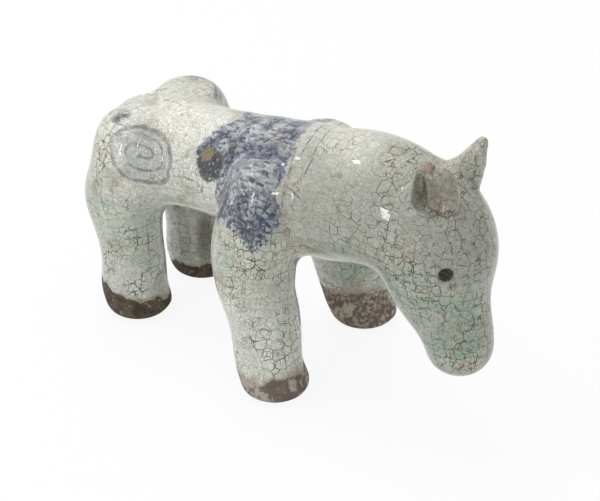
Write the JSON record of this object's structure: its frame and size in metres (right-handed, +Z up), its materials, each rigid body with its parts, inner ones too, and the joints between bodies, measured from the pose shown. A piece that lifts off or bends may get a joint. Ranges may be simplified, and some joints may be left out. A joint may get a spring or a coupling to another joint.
{
  "type": "ceramic horse figure",
  "caption": "Stocky hand-built stoneware horse figure with lowered head, pale crackle glaze, painted blue saddle cloth and bare brown feet.",
  "frame": {"origin": "centre of the bounding box's bottom, on the ground between the four feet", "axes": "+X towards the horse's head, +Y to its left side, +Z up"},
  "size_m": [0.3345, 0.16, 0.2072],
  "materials": {
    "glaze": "pale grey-green crackle glaze with brown crack lines and a cobalt wash on the back",
    "bare_clay": "unglazed dark brown stoneware, matt"
  },
  "bodies": {
    "root": {"barrel_left_half": "glaze", "barrel_right_half": "glaze", "ear_left": "glaze", "ear_right": "glaze", "foreleg_left": "glaze", "foreleg_right": "glaze", "head": "glaze", "hind_leg_left": "glaze", "hind_leg_right": "glaze", "neck": "glaze", "tail": "glaze", "sole_hind_right": "bare_clay", "sole_hind_left": "bare_clay", "sole_fore_right": "bare_clay", "sole_fore_left": "bare_clay"}
  },
  "joints": []
}
